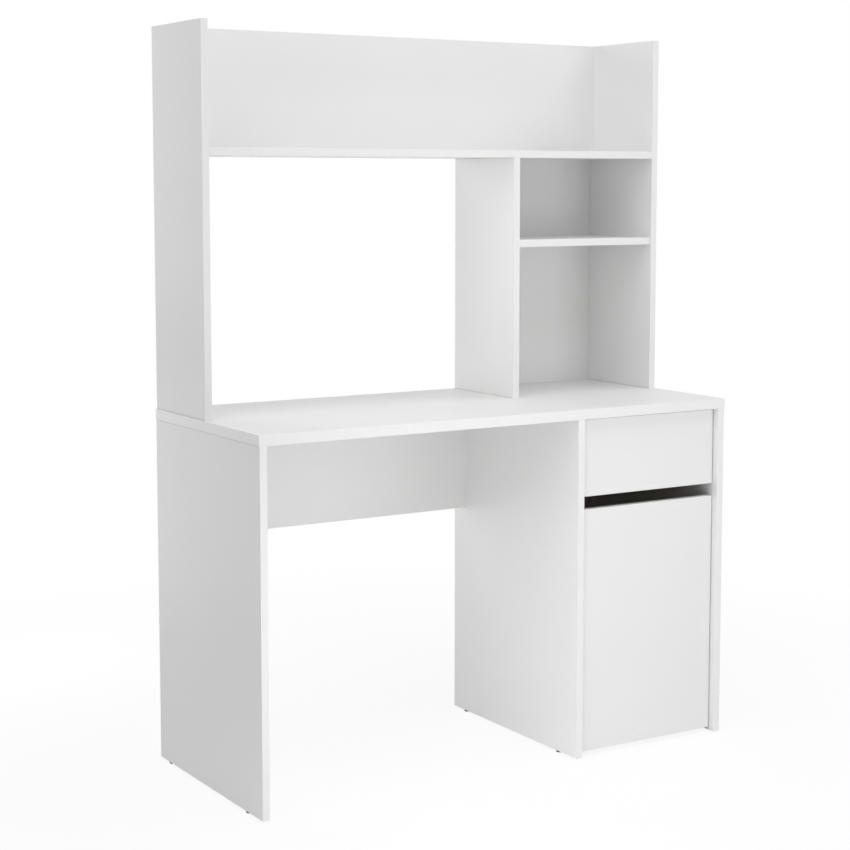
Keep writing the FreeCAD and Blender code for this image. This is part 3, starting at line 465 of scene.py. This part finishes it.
def nailShape(tree, given, look):
    # the tapered head, the shank and the tip that a screw and a nail have in common
    sink = calc(tree, "SUBTRACT", given["headRadius"], given["shankRadius"])
    core = calc(tree, "MULTIPLY", given["shankRadius"], look["corePart"])
    down = calc(tree, "MULTIPLY", sink, -1.0)
    taper = {"Vertices": look["sides"], "Radius Top": given["headRadius"], "Radius Bottom": core,
             "Depth": sink}
    head = upBy(tree, addStep(tree, "GeometryNodeMeshCone", taper), down)
    straight = calc(tree, "SUBTRACT", calc(tree, "SUBTRACT", given["length"], sink), look["tipLength"])
    middle = calc(tree, "SUBTRACT", down, calc(tree, "MULTIPLY", straight, 0.5))
    bar = {"Vertices": look["sides"], "Radius": core,
           "Depth": calc(tree, "ADD", straight, look["overlap"])}
    shank = upBy(tree, addStep(tree, "GeometryNodeMeshCylinder", bar), middle)
    point = {"Vertices": look["sides"], "Radius Top": core, "Radius Bottom": look["tipRadius"],
             "Depth": look["tipLength"]}
    tipFoot = calc(tree, "MULTIPLY", given["length"], -1.0)
    tip = upBy(tree, addStep(tree, "GeometryNodeMeshCone", point), tipFoot)
    return head, shank, tip, {"sink": sink, "core": core, "down": down, "straight": straight}


def screwTree():
    tree, given = startTree("crossScrew", fastenerSizes)
    look = crossScrew
    head, shank, tip, at = nailShape(tree, given, look)
    crossHalf = calc(tree, "MULTIPLY", given["headRadius"], look["recessPart"])
    crossDeep = calc(tree, "MULTIPLY", at["sink"], look["recessDeep"])
    wedge = {"Vertices": 4, "Radius Top": calc(tree, "MULTIPLY", crossHalf, look["recessRim"]),
             "Radius Bottom": calc(tree, "MULTIPLY", crossHalf, look["recessFoot"]),
             "Depth": calc(tree, "MULTIPLY", crossDeep, 2.0)}
    lowered = calc(tree, "MULTIPLY", crossDeep, -1.0)
    square = upBy(tree, addStep(tree, "GeometryNodeMeshCone", wedge), lowered, (0, 0, math.pi / 4))
    blade = upBy(tree, square, 0.0, scale=(1, look["bladeShare"], 1))
    crossing = upBy(tree, blade, 0.0, (0, 0, math.pi / 2))
    cut = tree.nodes.new("GeometryNodeMeshBoolean")
    cut.operation = "DIFFERENCE"
    cut.solver = "EXACT"
    tree.links.new(head, cut.inputs["Mesh 1"])
    tree.links.new(blade, cut.inputs["Mesh 2"])
    tree.links.new(crossing, cut.inputs["Mesh 2"])
    height = calc(tree, "SUBTRACT", given["shankRadius"], at["core"])
    ridge = calc(tree, "MULTIPLY", height, look["ridgePart"])
    reach = calc(tree, "SUBTRACT", given["shankRadius"], ridge)
    turns = calc(tree, "DIVIDE", at["straight"], look["pitch"])
    coil = {"Resolution": look["threadSteps"], "Rotations": turns, "Start Radius": reach,
            "End Radius": reach, "Height": at["straight"]}
    spiral = addStep(tree, "GeometryNodeCurveSpiral", coil)
    section = addStep(tree, "GeometryNodeCurvePrimitiveCircle", {"Resolution": 3, "Radius": ridge})
    wound = {"Curve": spiral, "Profile Curve": section, "Fill Caps": True}
    threadFoot = calc(tree, "SUBTRACT", at["down"], at["straight"])
    thread = upBy(tree, addStep(tree, "GeometryNodeCurveToMesh", wound), threadFoot)
    closeTree(tree, given, [cut.outputs["Mesh"], shank, tip, thread])
    return tree


def pinTree():
    tree, given = startTree("panelPin", fastenerSizes)
    head, shank, tip, at = nailShape(tree, given, panelPin)
    closeTree(tree, given, [head, shank, tip])
    return tree


runnerWheel = {
    "treadPart": 0.2,        # thickness of the tread, as a share of the wheel's radius
    "hubPart": 0.26,
    "webPart": 0.34,         # thickness of the web, as a share of the wheel's width
    "ribPart": 0.11,
    "ribTall": 0.86,
    "ribs": 6,
    "overlap": 0.0002,       # by which the web and the ribs reach into the hub and the tread
    "rounding": 0.0006,
    "roundingSteps": 4,
    "steps": 56,
}


def ringShape(tree, inner, outer, width, rounding=0.0):
    # a ring with a square section, rounded or not, lying flat around its axis
    middle = calc(tree, "MULTIPLY", calc(tree, "ADD", inner, outer), 0.5)
    around = {"Resolution": runnerWheel["steps"], "Radius": middle}
    path = addStep(tree, "GeometryNodeCurvePrimitiveCircle", around)
    wall = calc(tree, "SUBTRACT", outer, inner)
    section = addStep(tree, "GeometryNodeCurvePrimitiveQuadrilateral", {"Width": wall, "Height": width})
    if rounding:
        corner = {"Curve": section, "Radius": rounding, "Count": runnerWheel["roundingSteps"]}
        section = addStep(tree, "GeometryNodeFilletCurve", corner, mode="POLY")
    return addStep(tree, "GeometryNodeCurveToMesh", {"Curve": path, "Profile Curve": section})


def wheelTree():
    tree, given = startTree("runnerWheel", ("outerRadius", "boreRadius", "width"))
    look = runnerWheel
    outer, bore, width = given["outerRadius"], given["boreRadius"], given["width"]
    treadInner = calc(tree, "MULTIPLY", outer, 1 - look["treadPart"])
    hubOuter = calc(tree, "ADD", bore, calc(tree, "MULTIPLY", outer, look["hubPart"]))
    tread = ringShape(tree, treadInner, outer, width, look["rounding"])
    hub = ringShape(tree, bore, hubOuter, width, look["rounding"] / 2)
    discInner = calc(tree, "SUBTRACT", hubOuter, look["overlap"])
    discOuter = calc(tree, "ADD", treadInner, look["overlap"])
    disc = ringShape(tree, discInner, discOuter, calc(tree, "MULTIPLY", width, look["webPart"]))
    size = {
        "X": calc(tree, "ADD", calc(tree, "SUBTRACT", treadInner, hubOuter), look["overlap"] * 2),
        "Y": calc(tree, "MULTIPLY", outer, look["ribPart"]),
        "Z": calc(tree, "MULTIPLY", width, look["ribTall"]),
    }
    rib = addStep(tree, "GeometryNodeMeshCube", {"Size": addStep(tree, "ShaderNodeCombineXYZ", size)})
    middle = calc(tree, "MULTIPLY", calc(tree, "ADD", hubOuter, treadInner), 0.5)
    around = addStep(tree, "GeometryNodeMeshCircle", {"Vertices": look["ribs"], "Radius": middle})
    outwards = {"Vector": addStep(tree, "GeometryNodeInputPosition", {})}
    turn = addStep(tree, "FunctionNodeAlignRotationToVector", outwards, axis="X", pivot_axis="Z")
    values = {"Points": around, "Instance": rib, "Rotation": turn}
    ribs = addStep(tree, "GeometryNodeInstanceOnPoints", values)
    closeTree(tree, given, [tread, hub, disc, ribs])
    return tree


meshCare = {
    "samePoint": 1e-6,       # metres within which corner points of a carried-over mesh are one
    "grownPoint": 1e-7,      # the same in a grown mesh
    "samePlane": 1e-5,
    "sizeDigits": 5,         # sizes are read to a hundredth of a millimetre
    "sortDigits": 4,         # and places to a tenth, when parts are put in order
    "sharpFrom": 38.0,       # degrees between two faces
}


def middleOf(points):
    digits = meshCare["sortDigits"]
    return tuple(round(sum(p[i] for p in points) / len(points), digits) for i in range(3))


def looseParts(name):
    # the corner points of each separate solid in a node, read from a merged copy of its mesh
    copy = bmesh.new()
    copy.from_mesh(nodes[name].data)
    bmesh.ops.remove_doubles(copy, verts=copy.verts, dist=meshCare["samePoint"])
    waiting = set(copy.verts)
    parts = []
    while waiting:
        reached = [waiting.pop()]
        for vert in reached:
            for edge in vert.link_edges:
                other = edge.other_vert(vert)
                if other in waiting:
                    waiting.remove(other)
                    reached.append(other)
        parts.append([vert.co.copy() for vert in reached])
    copy.free()
    parts.sort(key=middleOf)
    return parts


def pinLike(points):
    # a screw or nail: where its head is, which way that faces, and its three sizes
    low = Vector([min(p[i] for p in points) for i in range(3)])
    high = Vector([max(p[i] for p in points) for i in range(3)])
    spans = high - low
    axis = list(spans).index(max(spans))
    middle = (low + high) / 2

    def away(point):
        flat = point - middle
        flat[axis] = 0
        return flat.length

    flush = meshCare["samePlane"]
    ends = [max(away(p) for p in points if abs(p[axis] - edge[axis]) < flush) for edge in (low, high)]
    headHigh = ends[1] > ends[0]
    seat = middle.copy()
    seat[axis] = high[axis] if headHigh else low[axis]
    heading = Vector((0, 0, 0))
    heading[axis] = 1 if headHigh else -1
    farHalf = [p for p in points if (p - seat).dot(heading) < -spans[axis] / 2]
    sizes = (max(ends), max(away(p) for p in farHalf), spans[axis])
    return seat, heading, tuple(round(size, meshCare["sizeDigits"]) for size in sizes)


def seedMesh(seeds):
    mesh = bpy.data.meshes.new("seeds")
    mesh.from_pydata([seat for seat, heading in seeds], [], [])
    aim = mesh.attributes.new("heading", "FLOAT_VECTOR", "POINT")
    for spot, (seat, heading) in zip(aim.data, seeds):
        spot.vector = heading
    return mesh


def grow(tree, seeds, sizes, finish):
    # runs a tree on its seed points and gives back the plain mesh
    carrier = bpy.data.objects.new("seeds", seedMesh(seeds))
    bpy.context.scene.collection.objects.link(carrier)
    modifier = carrier.modifiers.new("grow", "NODES")
    modifier.node_group = tree
    values = dict(sizes, finish=finish)
    for socket in tree.interface.items_tree:
        if socket.in_out == "INPUT" and socket.name in values:
            modifier[socket.identifier] = values[socket.name]
    depsgraph = bpy.context.evaluated_depsgraph_get()
    mesh = bpy.data.meshes.new_from_object(carrier.evaluated_get(depsgraph))
    carrier.modifiers.remove(modifier)
    bpy.data.objects.remove(carrier)
    return mesh


def finishPiece(name, meshes, body, node):
    # joins grown meshes into one piece that stands for a node
    solid = bmesh.new()
    for mesh in meshes:
        solid.from_mesh(mesh)
    bmesh.ops.remove_doubles(solid, verts=solid.verts, dist=meshCare["grownPoint"])
    bmesh.ops.recalc_face_normals(solid, faces=solid.faces)
    whole = bpy.data.meshes.new(name)
    solid.to_mesh(whole)
    solid.free()
    whole.materials.clear()
    whole.materials.append(finishes[slots[node]])
    for face in whole.polygons:
        face.material_index = 0
    whole.set_sharp_from_angle(angle=math.radians(meshCare["sharpFrom"]))
    piece = bpy.data.objects.new(name, whole)
    bpy.context.scene.collection.objects.link(piece)
    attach(piece, body)
    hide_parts(node)
    return piece


def makeFasteners(node, name, body):
    # one kind of screw or nail in each size that the node holds
    kinds = {}
    for points in looseParts(node):
        seat, heading, sizes = pinLike(points)
        kinds.setdefault(sizes, []).append((seat, heading))
    meshes = []
    for sizes, seeds in kinds.items():
        tree = pins if sizes[0] < panelPin["largestHead"] else screws
        meshes.append(grow(tree, seeds, dict(zip(fastenerSizes, sizes)), finishes[slots[node]]))
    piece = finishPiece(name, meshes, body, node)
    total = sum(len(seeds) for seeds in kinds.values())
    print(name + ":", total, "pieces,", len(kinds), "sizes,", len(piece.data.polygons), "faces")


def makeWheel(roller):
    low, high = (Vector(corner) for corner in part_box(roller))
    middle = (low + high) / 2
    bore = min(math.hypot(v.co.y - middle.y, v.co.z - middle.z) for v in nodes[roller].data.vertices)
    sizes = {"outerRadius": (high.z - low.z) / 2, "boreRadius": bore, "width": high.x - low.x}
    mesh = grow(wheels, [(middle, Vector((1, 0, 0)))], sizes, finishes[slots[roller]])
    piece = finishPiece(roller + "_wheel", [mesh], roller, roller)
    print(piece.name + ":", len(piece.data.polygons), "faces")


makeCamera()
makeWorld()
makeFloor()
makeSoftboxes()
print("camera and studio ready")
finishes = dressNodes()
print("finishes ready:", len(finishes))
screws, pins, wheels = screwTree(), pinTree(), wheelTree()
for node, name, body in (("cabinet_screws", "cabinet_cross_screws", "desk"),
                         ("drawer_screws", "drawer_cross_screws", "drawer"),
                         ("door_screws", "door_cross_screws", "door"),
                         ("joining_plate_screws", "joining_plate_cross_screws", "desk"),
                         ("back_pins", "panel_pins", "desk")):
    makeFasteners(node, name, body)
for roller in ("front_roller_left", "front_roller_right", "rear_roller_left", "rear_roller_right"):
    makeWheel(roller)

bpy.context.scene.view_settings.view_transform = "Standard"
